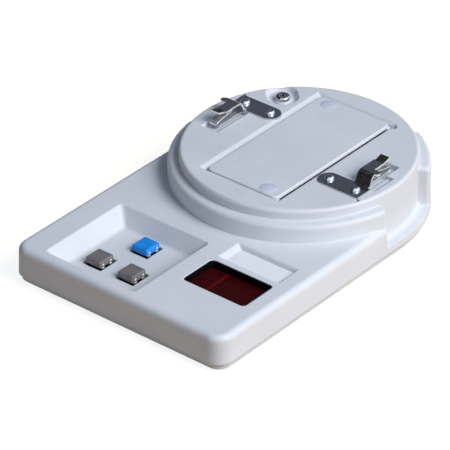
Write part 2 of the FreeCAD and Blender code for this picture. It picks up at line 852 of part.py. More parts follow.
# Screws
def pan_screw(x, y, seat, reach, up):
    """Pan head with a cross recess; up is +1 when the head is above its seat."""
    crown = seat + up * size.screw_rise
    head = (seat, crown) if up > 0 else (crown, seat)
    shank = (seat - reach, seat) if up > 0 else (seat, seat + reach)
    cap = rounded(cylinder(x, y, head, size.screw_head), size.screw_rise / 2, level(crown))
    depth = (crown - size.cross_depth, crown + PAST) if up > 0 else (crown - PAST, crown + size.cross_depth)
    cross = [box(span(x, a), span(y, b), depth) for a, b in ((size.cross_length, size.cross_width),
                                                             (size.cross_width, size.cross_length))]
    return cut(fuse(cap, cylinder(x, y, shank, size.screw_radius)), *cross)


def screws():
    head_low = boss_top - size.cover_floor
    reach = size.screw_reach + size.cover_floor - PAST
    keep("case_screws", group(*[pan_screw(x, y, head_low, reach, -1) for x, y in case_posts]))
    keep("drum_screw", pan_screw(-post_x, post_y, screw_seat, size.drum_screw_reach, 1))
    heads = [fuse(cylinder(x, y, (board_top, board_top + size.board_head_rise), size.board_head),
                  cylinder(x, y, (size.foot_height + 2 * size.foot_sink, board_top), size.board_screw))
             for x, y in board_holes]
    keep("board_screws", group(*heads))


# Hatch plate with its dots and foam
def hatch():
    body = doc.addObject("PartDesign::Body", "hatch_plate")
    frame_low = hatch_low - size.hatch_frame
    gap = size.fit_gap
    frame_x = (hatch_open_x[0] + gap, hatch_open_x[1] - gap)
    frame_y = (hatch_open_y[0] + gap, hatch_open_y[1] - gap)
    wall = size.hatch_frame
    pad(body, rectangle_sketch(body, hatch_x, hatch_y, hatch_low), size.hatch_thick)
    soften(body, size.hatch_corner, upright)
    soften(body, size.hatch_edge, level(drum_top + size.hatch_proud))
    pad(body, rectangle_sketch(body, frame_x, frame_y, frame_low), wall)
    pocket(body, rectangle_sketch(body, (frame_x[0] + wall, frame_x[1] - wall),
                                  (frame_y[0] + wall, frame_y[1] - wall), frame_low), wall)
    keep("hatch_plate", body)
    radius = (size.bumper_radius * size.bumper_radius + size.bumper_rise * size.bumper_rise)
    radius = radius / (2 * size.bumper_rise)
    domes = []
    for side in (1, -1):
        dome = doc.addObject("Part::Sphere", "dome")
        bind(dome, "Radius", radius)
        bind(dome, "Angle1", arcsine((radius - size.bumper_rise) / radius))
        put(dome, side * (hatch_half - size.bumper_side), drum_y - side * (hatch_reach - size.bumper_end),
            drum_top + size.hatch_proud + size.bumper_rise - radius)
        domes.append(dome)
    keep("hatch_bumpers", group(*domes))
    battery_top = floor_top + size.battery_height
    battery_mid = drum_y + size.battery_rear - size.battery_length / 2
    foam_half = frame_x[1] - wall - size.foam_side
    keep("hatch_foam", box((-foam_half, foam_half), span(battery_mid, size.foam_length),
                           (battery_top + size.foam_gap, hatch_low)))


# Contact clips
def clip_shapes():
    """Right-hand contact plate and leaf spring about the drum axis."""
    low, high = float(seat_low), float(seat_low + size.plate_thick)
    centre = (low + high) / 2
    tab_y = (size.rivet_y - size.tab_half, size.rivet_y + size.tab_half)
    tab = solid((rivet_inner, tab_end), tab_y, (low, high))
    tab = tab.fuse(rod(rivet_inner, size.rivet_y, (low, high), size.tab_half))
    crest = centre + float(size.arm_rise)
    points = [(size.rivet_y, centre), (size.arm_foot, centre), (size.arm_crest, crest),
              (size.arm_end, crest), (size.finger_end, crest + float(size.finger_rise))]
    arm_x = (arm_inner, arm_inner + size.arm_width)
    path = bent_path([Vector(float(arm_x[0]), float(y), z) for y, z in points], float(size.arm_bend))
    arm = strip(path, arm_x, size.plate_thick)
    above = (crest - float(size.plate_thick), crest + 2 * float(size.finger_rise))
    finger_x = arm_inner + size.finger_width + size.seat_margin
    arm = arm.cut(solid((finger_x, arm_x[1] + PAST), (size.horn_end, size.finger_end + PAST), above))
    arm = arm.cut(solid((arm_x[0] - PAST, arm_x[0] + size.seat_margin),
                        (size.arm_end, size.finger_end + PAST), above))
    flat = (crest - float(size.plate_thick) / 2, crest + float(size.plate_thick) / 2)
    ear = rod(arm_x[1], size.horn_end - size.ear_radius, flat, size.ear_radius)
    plate = tab.fuse(arm.fuse(ear)).removeSplitter()

    leaf_low = low - float(size.spring_thick)
    leaf_mid = low - float(size.spring_thick) / 2
    foot = solid((rivet_inner, tab_end), tab_y, (leaf_low, low))
    foot = foot.fuse(rod(rivet_inner, size.rivet_y, (leaf_low, low), size.tab_half))
    bend, slope = float(size.leaf_bend), math.radians(float(size.leaf_angle))
    leaf_x = (leaf_inner, leaf_inner + size.leaf_width)
    x, turn = float(leaf_x[0]), float(size.leaf_turn)
    hub = Vector(x, turn, leaf_mid + bend)
    tail = hub + Vector(0, math.sin(slope), math.cos(slope)) * bend
    run = (tail.y - float(size.leaf_tip)) / math.cos(slope)
    tip = tail + Vector(0, -math.cos(slope), math.sin(slope)) * run
    start, turn_start = Vector(x, float(size.rivet_y), leaf_mid), Vector(x, turn, leaf_mid)
    path = Part.Wire([Part.LineSegment(start, turn_start).toShape(),
                      Part.Arc(turn_start, hub + Vector(0, bend, 0), tail).toShape(),
                      Part.LineSegment(tail, tip).toShape()])
    leaf = foot.fuse(strip(path, leaf_x, size.spring_thick)).removeSplitter()
    for rivet_x in (rivet_inner, rivet_outer):
        drill = rod(rivet_x, size.rivet_y, (drum_under, drum_top + PAST), size.rivet_radius + size.slide_gap)
        plate, leaf = plate.cut(drill), leaf.cut(drill)
    return plate, leaf


def contact_clips():
    plate, leaf = clip_shapes()
    for name, angle in (("right", 0), ("left", 180)):
        place = Placement(Vector(0, float(drum_y), 0), Rotation(Vector(0, 0, 1), angle))
        shape_piece(f"contact_plate_{name}", plate, place)
        shape_piece(f"contact_spring_{name}", leaf, place)
    head_low = seat_low + size.plate_thick
    head = head_low + size.rivet_rise
    rivets = []
    for x, y in rivet_places():
        dome = rounded(cylinder(x, y, (head_low, head), size.rivet_head), 0.85 * size.rivet_rise,
                       level(head))
        shank = cylinder(x, y, (drum_under, head_low), size.rivet_radius)
        tail = cylinder(x, y, (drum_under - size.rivet_rise / 2, drum_under), size.rivet_head)
        rivets.append(fuse(dome, shank, tail))
    keep("contact_rivets", group(*rivets))


# Keys
def key(name, x, y):
    body = doc.addObject("PartDesign::Body", f"key_cap_{name}")
    height = key_top - key_low
    pad(body, rectangle_sketch(body, span(x, size.key_width), span(y, size.key_length), key_low), height,
        size.key_taper)
    soften(body, size.key_edge, lambda edge: edge.BoundBox.ZMax > float(key_low) + 0.1)
    wall = 2 * size.key_wall
    room_x = size.key_width - wall
    pocket(body, rectangle_sketch(body, span(x, room_x), span(y, size.key_length - wall), key_low),
           plunger_low - key_low)
    seat = 2 * (plunger_top - key_low) * tangent(size.key_taper)
    block_x, block_y = room_x - seat, size.key_length - wall - seat
    pocket(body, rectangle_sketch(body, span(x, block_x), span(y, block_y), plunger_low),
           size.plunger_thick)
    nub_z = plunger_top - size.plunger_thick / 2
    nub_y = span(y, size.nub_pitch)
    pocket(body, side_hole_sketch(body, x, [(place, nub_z) for place in nub_y],
                                  size.nub_radius + size.slide_gap), size.key_width)
    keep(f"key_cap_{name}", body)

    reach = size.key_width / 2 - (nub_z - key_low) * tangent(size.key_taper)
    nubs = [lying_cylinder((x, place, nub_z), reach + size.slide_gap, size.nub_radius, NUB_TURN)
            for place in nub_y]
    block = box(span(x, block_x), span(y, block_y), (plunger_low, plunger_top))
    stem = cylinder(x, y, (switch_top - size.stem_reach, plunger_low), size.stem_radius)
    leg = turned_pair(room_x / 2 - size.slide_gap - size.hook_thick, room_x / 2 - size.slide_gap)
    foot = turned_pair(leg[0][0], size.key_width / 2 - size.slide_gap)
    foot_top = key_low - size.slide_gap
    foot_low = foot_top - size.hook_rise
    hooks = []
    for place in nub_y:
        across = span(place, size.hook_width)
        hooks += [box((x + low, x + high), across, (foot_low, plunger_low)) for low, high in leg]
        hooks += [box((x + low, x + high), across, (foot_low, foot_top)) for low, high in foot]
    keep(f"key_plunger_{name}", fuse(block, stem, *nubs, *hooks))


def key_switches():
    bodies = []
    for x, y in keys.values():
        case = box(span(x, size.switch_size), span(y, size.switch_size), (board_top, switch_top))
        bore_low = switch_top - size.stem_reach - size.key_travel - size.slide_gap
        bodies.append(cut(case, cylinder(x, y, (bore_low, switch_top + PAST),
                                         size.stem_radius + size.slide_gap)))
    keep("key_switches", group(*bodies))


# Display window and label
def display():
    gap = size.slide_gap
    rim_x, rim_y = (window_x[0] + gap, window_x[1] - gap), (window_y[0] + gap, window_y[1] - gap)
    filter_top = console_top - size.filter_depth
    filter_low = filter_top - size.filter_thick

    def around(pairs, grow):
        return [(low - grow, high + grow) for low, high in pairs]

    sides = (rim_x, rim_y)
    rim_block = rounded_box(rim_x, rim_y, (filter_low, console_top - size.fit_gap), size.window_corner)
    flange = rounded_box(*around(sides, size.bezel_flange), (filter_low, console_under),
                         size.window_corner)
    hole = rounded_box(*around(sides, -size.bezel_rim), (filter_low - PAST, console_top + PAST),
                       size.window_corner - size.bezel_rim)
    pane_sides = around(sides, size.filter_lap - size.bezel_rim)
    seat = box(*around(pane_sides, gap), (filter_low - PAST, filter_top))
    keep("display_bezel", cut(fuse(rim_block, flange), hole, seat))
    keep("display_filter", box(*pane_sides, (filter_low, filter_top)))
    module_top = filter_low - size.module_gap
    keep("display_module", box(*around(sides, -size.bezel_rim), (board_top, module_top)))
    middle_x = (window_x[0] + window_x[1]) / 2
    middle_y = (window_y[0] + window_y[1]) / 2
    stroke = size.digit_stroke
    bars = []
    for place in (-1, 0, 1):
        x = middle_x + place * size.digit_pitch
        z = (module_top, module_top + size.module_gap / 2)
        for row in (-1, 0, 1):
            y = middle_y + row * (size.digit_height - stroke) / 2
            bars.append(box(span(x, size.digit_width - 3 * stroke), span(y, stroke), z))
        for side in (-1, 1):
            for row in (-1, 1):
                upright_x = x + side * (size.digit_width - stroke) / 2
                upright_y = middle_y + row * (size.digit_height - stroke) / 4
                length = (size.digit_height - stroke) / 2 - stroke
                bars.append(box(span(upright_x, stroke), span(upright_y, length), z))
    keep("display_segments", group(*bars))
    label_gap = 2 * size.slide_gap
    keep("label_plate", rounded_box((label_low_x[0] + label_gap, label_low_x[1] - label_gap),
                                    (label_low_y[0] + label_gap, label_low_y[1] - label_gap),
                                    (label_low, label_low + size.label_thick), size.label_corner))


# Board and its parts
def board():
    sheet_block = box((-board_half, board_half), board_y, (board_low, board_top))
    drills = [cylinder(x, y, (board_low - PAST, board_top + PAST), size.board_screw + size.slide_gap)
              for x, y in board_holes]
    keep("main_board", cut(sheet_block, *drills))
    rear_row, driver_row = board_y[1] - size.rear_row, window_y[1] + size.driver_row
    chip_z = (board_top, board_top + size.chip_height)
    keep("controller_chip", box(span(controller_x, size.controller_length),
                                span(rear_row, size.chip_depth), chip_z))
    keep("driver_chip", box(span(crystal_x - size.driver_pitch, size.driver_length),
                            span(driver_row, size.chip_depth), chip_z))
    can = box(span(crystal_x, size.crystal_length), span(driver_row, size.crystal_depth),
              (board_top, board_top + size.crystal_height))
    keep("crystal", rounded(can, 0.45 * size.crystal_depth, upright))
    keep("sounder", cylinder(sounder_x, rear_row, (board_top, board_top + size.sounder_height),
                             size.sounder_radius))
    cans = [cylinder(x, rear_row, (board_top, board_top + size.capacitor_height), size.capacitor_radius)
            for x in span(size.capacitor_x, size.capacitor_pitch)]
    keep("capacitors", group(*cans))


# Battery and wires
def battery():
    body_y = (drum_y + size.battery_rear - size.battery_length, drum_y + size.battery_rear)
    middle = floor_top + size.battery_height / 2
    block = rounded(box(span(measure(0), size.battery_width), body_y,
                        (floor_top, floor_top + size.battery_height)), size.battery_edge,
                    lambda edge: edge.BoundBox.YLength > 1)
    stud_x = span(measure(0), size.stud_spacing)
    studs = [lying_cylinder((x, body_y[0] - size.stud_length, middle), size.stud_length + PAST,
                            size.stud_radius, STUD_TURN) for x in stud_x]
    keep("battery", fuse(block, *studs))
    snap_y = (body_y[0] - size.fit_gap - size.snap_thick, body_y[0] - size.fit_gap)
    snap = box(span(measure(0), size.snap_width), snap_y, span(middle, size.snap_height))
    cups = [lying_cylinder((x, body_y[0] - size.stud_length - size.slide_gap, middle),
                           size.stud_length + PAST, size.stud_radius + size.slide_gap, STUD_TURN)
            for x in stud_x]
    keep("battery_snap", cut(snap, *cups))
    run_z = middle - size.snap_height / 2 + size.lead_rise
    for name, x in zip(("black", "red"), span(sounder_x + size.lead_side, size.lead_pitch)):
        lead(f"battery_lead_{name}", [(x, snap_y[0], run_z), (x, lead_pad_y, run_z),
                                      (x, lead_pad_y, board_top)])
    tail = drum_under - size.rivet_rise / 2
    for name, side in (("right", 1), ("left", -1)):
        x, y = side * rivet_outer, drum_y + side * size.rivet_y
        pad_x = side * board_side
        lead(f"contact_lead_{name}", [(x, y, tail), (x, y, run_z), (pad_x, lead_pad_y, run_z),
                                      (pad_x, lead_pad_y, board_top)])


def lead(label, places):
    """A round wire laid through the places."""
    points = [Vector(*(float(value) for value in place)) for place in places]
    path = bent_path(points, float(size.lead_bend))
    ring = Part.Circle(points[0], points[1] - points[0], float(size.lead_radius)).toShape()
    shape_piece(label, path.makePipeShell([Part.Wire(ring)], True, False))


top_housing()
bottom_cover()
rubber_feet()
screws()
hatch()
contact_clips()
for key_name, key_place in keys.items():
    key(key_name, *key_place)
key_switches()
display()
board()
battery()
doc.recompute()

# Every object must have rebuilt cleanly before a file is written
for item in doc.Objects:
    if {"Invalid", "Error"} & set(item.State):
        raise RuntimeError(f"{item.Label} did not rebuild: {item.State}")
os.makedirs("parts", exist_ok=True)
for label, item in nodes.items():
    if item.Shape.isNull() or not item.Shape.isValid() or not item.Shape.Solids:
        raise RuntimeError(f"{label} has no sound shape")
    item.Shape.exportStep(f"parts/{label}.step")
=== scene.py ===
import math

import bmesh
import bpy
from mathutils import Matrix, Vector


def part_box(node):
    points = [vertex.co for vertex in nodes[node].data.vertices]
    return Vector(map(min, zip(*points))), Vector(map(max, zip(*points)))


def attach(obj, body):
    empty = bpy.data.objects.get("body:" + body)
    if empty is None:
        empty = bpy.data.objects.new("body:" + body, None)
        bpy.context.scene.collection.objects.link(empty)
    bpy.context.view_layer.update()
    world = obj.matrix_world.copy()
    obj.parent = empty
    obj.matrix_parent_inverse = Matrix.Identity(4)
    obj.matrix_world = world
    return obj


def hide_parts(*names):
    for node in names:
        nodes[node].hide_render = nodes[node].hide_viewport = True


# White bench programmer on a pale table, lit by a broad window light from its right.
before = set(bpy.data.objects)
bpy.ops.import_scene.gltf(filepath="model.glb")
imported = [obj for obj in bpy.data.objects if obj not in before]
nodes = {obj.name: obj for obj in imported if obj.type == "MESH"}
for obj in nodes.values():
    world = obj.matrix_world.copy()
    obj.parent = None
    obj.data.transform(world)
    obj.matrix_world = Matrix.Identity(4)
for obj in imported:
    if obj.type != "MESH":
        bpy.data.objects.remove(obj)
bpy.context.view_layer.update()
scene = bpy.context.scene
scene.view_settings.view_transform = "Standard"

MM = 0.001


# Small helpers

def srgb(code):
    """Hex colour as the eye reads it, turned to linear light."""
    parts = [int(code[place:place + 2], 16) / 255 for place in (1, 3, 5)]
    return [*(part / 12.92 if part <= 0.04045 else ((part + 0.055) / 1.055) ** 2.4 for part in parts), 1.0]


def per_mm(size):
    """Texture scale that makes one feature about this many millimetres wide."""
    return 1 / (size * MM)


def add(tree, kind, sockets, steps=(), **settings):
    """Adds a node: settings are its own choices, sockets its values and links, steps a ramp's colours."""
    made = tree.nodes.new("ShaderNode" + kind)
    for name, value in settings.items():
        setattr(made, name, value)
    for number, (place, code) in enumerate(steps):
        points = made.color_ramp.elements
        point = points[number] if number < len(points) else points.new(place)
        point.position, point.color = place, srgb(code)
    for name, value in sockets.items():
        if isinstance(value, bpy.types.NodeSocket):
            tree.links.new(value, made.inputs[name])
        else:
            made.inputs[name].default_value = value
    return made.outputs


def finish(name, **values):
    """A new finish: its tree, its surface shader with fixed values, and the place on the object in metres."""
    material = bpy.data.materials.new(name)
    material.use_nodes = True
    tree = material.node_tree
    surface = tree.nodes["Principled BSDF"]
    for socket, value in values.items():
        surface.inputs[socket.replace("_", " ")].default_value = value
    return material, tree, surface, add(tree, "TexCoord", {})["Object"]


def lay_on(tree, surface, colour, rough, relief=None):
    """Gives a surface its colour, its roughness and, where it has one, its relief."""
    tree.links.new(colour, surface.inputs["Base Color"])
    tree.links.new(rough, surface.inputs["Roughness"])
    if relief:
        tree.links.new(relief, surface.inputs["Normal"])


def dress(material, *names):
    """Puts one finish on the nodes of these names."""
    for name in names:
        mesh = nodes[name].data
        mesh.materials.clear()
        mesh.materials.append(material)


# Finishes

def moulded(name, low, high, drift, grain, relief, gloss, edge, worn, **values):
    """Plastic from a spark-textured mould: tone drifts a little, a fine even grain, corners rubbed smooth.

    drift and grain are sizes in millimetres, relief the grain's depth, edge the radius the mould's own
    corners have, worn the colour that handled corners take.
    """
    most_rubbed, rubbed_polish = 0.7, -0.15
    material, tree, surface, place = finish(name, **values)
    cloud = add(tree, "TexNoise", {"Vector": place, "Scale": per_mm(drift), "Detail": 3.0})
    tone = add(tree, "ValToRGB", {"Fac": cloud["Fac"]}, steps=((0.35, low), (0.65, high)))
    corner = add(tree, "Bevel", {"Radius": edge * MM}, samples=8)
    flat = add(tree, "NewGeometry", {})
    turn = add(tree, "VectorMath", {0: corner["Normal"], 1: flat["Normal"]}, operation="DOT_PRODUCT")
    rub = add(tree, "TexNoise", {"Vector": place, "Scale": per_mm(0.4 * drift), "Detail": 5.0})
    bare = add(tree, "MapRange", {"Value": turn["Value"], "From Min": 0.99, "From Max": 0.80,
                                  "To Min": 0.0, "To Max": most_rubbed})
    handled = add(tree, "Math", {0: bare["Result"], 1: rub["Fac"]}, operation="MULTIPLY")
    colour = add(tree, "Mix", {0: handled["Value"], 6: tone["Color"], 7: srgb(worn)}, data_type="RGBA")
    matt = add(tree, "MapRange", {"Value": rub["Fac"], "From Min": 0.3, "From Max": 0.7,
                                  "To Min": gloss[0], "To Max": gloss[1]})
    rough = add(tree, "Math", {0: handled["Value"], 1: rubbed_polish, 2: matt["Result"]},
                operation="MULTIPLY_ADD")
    pits = add(tree, "TexNoise", {"Vector": place, "Scale": per_mm(grain), "Detail": 2.0})
    bump = add(tree, "Bump", {"Height": pits["Fac"], "Strength": relief, "Distance": 0.05 * MM,
                              "Normal": corner["Normal"]})
    lay_on(tree, surface, colour[2], rough["Value"], bump["Normal"])
    return material


def rolled_strip_steel():
    """Cold-rolled strip, bright but thin: mirrors its surroundings along fine rolling lines; the sheared
    edges are torn, pale and matt. Rolling lines of about 0.05 mm are drawn at 0.3 mm so that they show."""
    line_width, line_length, torn_matt = 0.3, 9, 0.32
    material, tree, surface, place = finish("rolled_strip_steel", Metallic=1.0)
    along = add(tree, "Mapping", {"Vector": place, "Scale": (per_mm(line_width), per_mm(line_length),
                                                             per_mm(line_width))})
    lines = add(tree, "TexNoise", {"Vector": along["Vector"], "Scale": 1.0, "Detail": 4.0})
    face = add(tree, "NewGeometry", {})
    lean = add(tree, "SeparateXYZ", {"Vector": face["Normal"]})
    upright = add(tree, "Math", {0: lean["Z"]}, operation="ABSOLUTE")
    sheared = add(tree, "MapRange", {"Value": upright["Value"], "From Min": 0.25, "From Max": 0.38,
                                     "To Min": 1.0, "To Max": 0.0})
    rolled = add(tree, "ValToRGB", {"Fac": lines["Fac"]}, steps=((0.3, "#B4B8BF"), (0.7, "#C9CCD1")))
    colour = add(tree, "Mix", {0: sheared["Result"], 6: rolled["Color"], 7: srgb("#DCDDDF")},
                 data_type="RGBA")
    polish = add(tree, "MapRange", {"Value": lines["Fac"], "To Min": 0.12, "To Max": 0.26})
    rough = add(tree, "Math", {0: sheared["Result"], 1: torn_matt, 2: polish["Result"]},
                operation="MULTIPLY_ADD")
    bump = add(tree, "Bump", {"Height": lines["Fac"], "Strength": 0.06, "Distance": 0.05 * MM})
    lay_on(tree, surface, colour[2], rough["Value"], bump["Normal"])
    return material


def bare_metal(name, low, high, spot, gloss, relief, edge):
    """Formed or plated metal: bright, with faint cloudy patches and handling marks of spot millimetres;
    its corners are rolled over to a radius of edge millimetres and catch the light."""
    material, tree, surface, place = finish(name, Metallic=1.0)
    cloud = add(tree, "TexNoise", {"Vector": place, "Scale": per_mm(spot), "Detail": 4.0})
    tone = add(tree, "ValToRGB", {"Fac": cloud["Fac"]}, steps=((0.3, low), (0.7, high)))
    rough = add(tree, "MapRange", {"Value": cloud["Fac"], "From Min": 0.3, "From Max": 0.7,
                                   "To Min": gloss[0], "To Max": gloss[1]})
    corner = add(tree, "Bevel", {"Radius": edge * MM}, samples=8)
    bump = add(tree, "Bump", {"Height": cloud["Fac"], "Strength": relief, "Distance": 0.05 * MM,
                              "Normal": corner["Normal"]})
    lay_on(tree, surface, tone["Color"], rough["Result"], bump["Normal"])
    return material


def cast_polyurethane():
    """Clear domed polyurethane, poured and left to level: a glassy skin over the flat plate that shows
    through it, faintly blue."""
    dome_left = (0.3, 0.3, 1.0)
    material, tree, surface, place = finish("cast_polyurethane", IOR=1.47, Coat_Weight=0.8, Coat_IOR=1.47,
                                            Coat_Roughness=0.08)
    haze = add(tree, "TexNoise", {"Vector": place, "Scale": per_mm(1.6), "Detail": 4.0})
    tone = add(tree, "ValToRGB", {"Fac": haze["Fac"]}, steps=((0.3, "#D1D7E5"), (0.7, "#DAE0ED")))
    rough = add(tree, "MapRange", {"Value": haze["Fac"], "To Min": 0.35, "To Max": 0.5})
    dome = add(tree, "NewGeometry", {})
    sunk = add(tree, "VectorMath", {0: dome["Normal"], 1: dome_left}, operation="MULTIPLY")
    flat = add(tree, "VectorMath", {0: sunk["Vector"]}, operation="NORMALIZE")
    lay_on(tree, surface, tone["Color"], rough["Result"], flat["Vector"])
    return material


def tinted_acrylic():
    """Dark red acrylic sheet with an anti-glare face: nearly black until lit from behind; where the seam of
    the digit block lies behind it, one dull red line is painted into the sheet's colour, a painted streak of
    light."""
    # Place, core and fade-out width of the painted streak of light across the sheet.
    painted_streak_x, painted_streak_core, painted_streak_edge = 21.5 * MM, 0.05 * MM, 0.6 * MM
    material, tree, surface, place = finish("tinted_acrylic", IOR=1.49, Specular_IOR_Level=0.08)
    spot = add(tree, "SeparateXYZ", {"Vector": place})
    across = add(tree, "Math", {0: spot["X"], 1: painted_streak_x}, operation="SUBTRACT")
    away = add(tree, "Math", {0: across["Value"]}, operation="ABSOLUTE")
    painted_streak = add(tree, "MapRange", {"Value": away["Value"], "From Min": painted_streak_core, "From Max": painted_streak_edge,
                                  "To Min": 1.0, "To Max": 0.0})
    dust = add(tree, "TexNoise", {"Vector": place, "Scale": per_mm(2.5), "Detail": 5.0})
    deep = add(tree, "ValToRGB", {"Fac": dust["Fac"]}, steps=((0.3, "#33060A"), (0.7, "#3E080C")))
    # Painted light: the sheet's colour turns brighter red along the streak.
    colour = add(tree, "Mix", {0: painted_streak["Result"], 6: deep["Color"], 7: srgb("#7C0F13")}, data_type="RGBA")
    rough = add(tree, "MapRange", {"Value": dust["Fac"], "To Min": 0.22, "To Max": 0.36})
    lay_on(tree, surface, colour[2], rough["Result"])
    return material


def polyester_film():
    """Plain white polyester label: smooth, slightly silky, a faint ripple from rubbing down."""
    material, tree, surface, place = finish("polyester_film", IOR=1.58)
    ripple = add(tree, "TexNoise", {"Vector": place, "Scale": per_mm(4), "Detail": 2.0})
    tone = add(tree, "ValToRGB", {"Fac": ripple["Fac"]}, steps=((0.3, "#F3F5F9"), (0.7, "#F8F9FC")))
    rough = add(tree, "MapRange", {"Value": ripple["Fac"], "To Min": 0.30, "To Max": 0.42})
    bump = add(tree, "Bump", {"Height": ripple["Fac"], "Strength": 0.05, "Distance": 0.1 * MM})
    lay_on(tree, surface, tone["Color"], rough["Result"], bump["Normal"])
    return material


def varnished_laminate():
    """Glass-cloth laminate under green varnish: weave just showing, copper tracks as paler raised bands."""
    material, tree, surface, place = finish("varnished_laminate", IOR=1.5)
    tracks = add(tree, "TexBrick", {"Vector": place, "Scale": per_mm(10), "Mortar Size": 0.03,
                                    "Brick Width": 0.9, "Row Height": 0.27}, offset=0.35)
    weave = add(tree, "TexWave", {"Vector": place, "Scale": per_mm(3.2), "Distortion": 0.4},
                bands_direction="DIAGONAL")
    cloth = add(tree, "ValToRGB", {"Fac": weave["Fac"]}, steps=((0.0, "#0F4A2A"), (1.0, "#135532")))
    colour = add(tree, "Mix", {0: tracks["Fac"], 6: cloth["Color"], 7: srgb("#3B8A4E")}, data_type="RGBA")
    rough = add(tree, "MapRange", {"Value": weave["Fac"], "To Min": 0.25, "To Max": 0.38})
    bump = add(tree, "Bump", {"Height": tracks["Fac"], "Strength": 0.3, "Distance": 0.05 * MM})
    lay_on(tree, surface, colour[2], rough["Result"], bump["Normal"])
    return material


def lacquered_jacket():
    """Tinplate battery jacket under lacquer, unprinted: charcoal with a dull copper end, scuffed."""
    copper_end = 26 * MM
    material, tree, surface, place = finish("lacquered_jacket", Metallic=0.4)
    spot = add(tree, "SeparateXYZ", {"Vector": place})
    band = add(tree, "Math", {0: spot["Y"], 1: copper_end}, operation="LESS_THAN")
    scuff = add(tree, "TexNoise", {"Vector": place, "Scale": per_mm(3), "Detail": 6.0})
    body = add(tree, "ValToRGB", {"Fac": scuff["Fac"]}, steps=((0.35, "#2A2B2F"), (0.7, "#3A3B40")))
    copper = add(tree, "ValToRGB", {"Fac": scuff["Fac"]}, steps=((0.35, "#8A5B34"), (0.7, "#A9723F")))
    colour = add(tree, "Mix", {0: band["Value"], 6: body["Color"], 7: copper["Color"]}, data_type="RGBA")
    rough = add(tree, "MapRange", {"Value": scuff["Fac"], "To Min": 0.22, "To Max": 0.5})
    lay_on(tree, surface, colour[2], rough["Result"])
    return material


def extruded_sleeve(name, low, high):
    """Soft PVC wire sleeve: slightly waxy, with faint streaks drawn out along the wire."""
    material, tree, surface, place = finish(name, IOR=1.54)
    streak = add(tree, "TexNoise", {"Vector": place, "Scale": per_mm(1.2), "Detail": 3.0})
    tone = add(tree, "ValToRGB", {"Fac": streak["Fac"]}, steps=((0.3, low), (0.7, high)))
    rough = add(tree, "MapRange", {"Value": streak["Fac"], "To Min": 0.32, "To Max": 0.5})
    lay_on(tree, surface, tone["Color"], rough["Result"])
    return material


def open_cell_foam():
    """Charcoal polyether foam, cut from a block: pores of about 0.7 mm, no shine."""
    material, tree, surface, place = finish("open_cell_foam", IOR=1.4)
    cells = add(tree, "TexVoronoi", {"Vector": place, "Scale": per_mm(0.7)})
    # The pore hollows are painted darker than the struts: painted shade where light does not reach into the
    # pores.
    tone = add(tree, "ValToRGB", {"Fac": cells["Distance"]}, steps=((0.0, "#262628"), (0.6, "#5A5A5E")))
    rough = add(tree, "MapRange", {"Value": cells["Distance"], "To Min": 0.95, "To Max": 0.8})
    bump = add(tree, "Bump", {"Height": cells["Distance"], "Strength": 0.8, "Distance": 0.3 * MM})
    lay_on(tree, surface, tone["Color"], rough["Result"], bump["Normal"])
    return material


# Foam pad that steadies the battery under the hatch plate

def foam_pad():
    """A cut foam block: crowned below, sides pulled in, flat where it is glued to the plate."""
    pulled_in, crowned, tapered = 0.035, 0.22, 0.03
    low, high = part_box("hatch_foam")
    mesh = bmesh.new()
    bmesh.ops.create_cube(mesh, size=1.0)
    bmesh.ops.subdivide_edges(mesh, edges=mesh.edges[:], cuts=11, use_grid_fill=True)
    half = [(b - a) / 2 for a, b in zip(low, high)]
    middle = [(a + b) / 2 for a, b in zip(low, high)]
    for point in mesh.verts:
        u, v, w = (2 * part for part in point.co)
        below = (1 - w) / 2
        waist = 1 - pulled_in * (1 - w * w)
        crown = 1 - crowned * below * max(abs(u), abs(v)) ** 6
        soft = 1 - tapered + tapered * w
        point.co = (middle[0] + half[0] * u * waist * soft, middle[1] + half[1] * v * waist * soft,
                    middle[2] + half[2] * w * crown)
    data = bpy.data.meshes.new("foam_pad")
    mesh.to_mesh(data)
    mesh.free()
    for face in data.polygons:
        face.use_smooth = True
    data.materials.append(open_cell_foam())
    pad = bpy.data.objects.new("foam_pad", data)
    scene.collection.objects.link(pad)
    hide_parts("hatch_foam")
    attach(pad, "hatch")


foam_pad()
dress(moulded("moulded_white_abs", "#DBDEE2", "#E2E4E7", 26, 0.35, 0.10, (0.40, 0.56), 0.75, "#ECEDEE",
              IOR=1.53), "top_housing", "bottom_cover", "hatch_plate")
dress(moulded("moulded_grey_abs", "#706D6D", "#7A7776", 6, 0.30, 0.16, (0.36, 0.52), 0.3, "#939190",
              IOR=1.53), "key_cap_left", "key_cap_right")
dress(moulded("moulded_blue_abs", "#0D88E6", "#1692EE", 6, 0.30, 0.14, (0.36, 0.52), 0.3, "#4CACF2",
              IOR=1.53), "key_cap_rear")
dress(moulded("natural_acetal", "#E6E6E2", "#EFEFEB", 5, 0.40, 0.08, (0.30, 0.42), 0.15, "#F4F4F0",
              IOR=1.48), "key_plunger_left", "key_plunger_right", "key_plunger_rear")
dress(moulded("moulded_black_abs", "#060405", "#0B0809", 8, 0.30, 0.12, (0.40, 0.56), 0.25, "#181415",
              IOR=1.53, Specular_IOR_Level=0.12), "display_bezel", "sounder")
dress(moulded("glass_filled_nylon", "#141416", "#1F1F21", 4, 0.25, 0.20, (0.45, 0.62), 0.2, "#303032",
              IOR=1.53), "key_switches")
dress(moulded("moulded_epoxy", "#17181A", "#212225", 5, 0.20, 0.22, (0.50, 0.68), 0.2, "#343538",
              IOR=1.55), "controller_chip", "driver_chip")
dress(moulded("black_vinyl", "#111113", "#1C1C1E", 6, 0.50, 0.18, (0.40, 0.55), 0.5, "#2A2A2C",
              IOR=1.54), "battery_snap")
dress(moulded("grey_digit_block", "#3A3A3D", "#454548", 7, 0.25, 0.12, (0.42, 0.55), 0.2, "#565659",
              IOR=1.55), "display_module")
